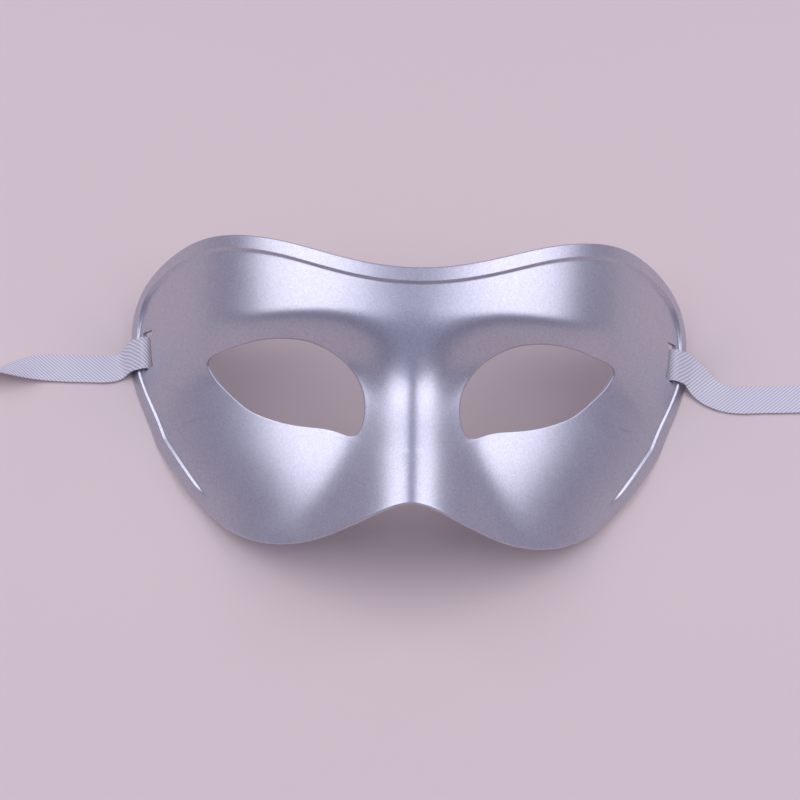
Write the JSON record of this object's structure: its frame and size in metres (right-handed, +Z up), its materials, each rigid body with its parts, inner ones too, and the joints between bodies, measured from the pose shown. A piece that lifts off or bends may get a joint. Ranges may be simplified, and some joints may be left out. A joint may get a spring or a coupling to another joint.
{
  "type": "masquerade half mask",
  "caption": "Half mask that covers brow, eyes and upper cheeks, with two almond eye holes, a raised border and a flat satin tie ribbon looped through a slot at each temple.",
  "frame": {"origin": "middle of the mask's footprint on the table, the mask lying face up on its side edges, measured without the two ribbons", "axes": "+X across the face towards the wearer's left temple, +Y towards the forehead, +Z up out of the face"},
  "size_m": [0.2725, 0.0932, 0.0638],
  "materials": {
    "silver_paint": "moulded plastic sprayed with fine silver metallic paint, satin sheen",
    "white_satin": "white satin ribbon with a fine diagonal twill"
  },
  "bodies": {
    "root": {"mask_shell": "silver_paint", "ribbon_left": "white_satin", "ribbon_right": "white_satin"}
  },
  "joints": []
}
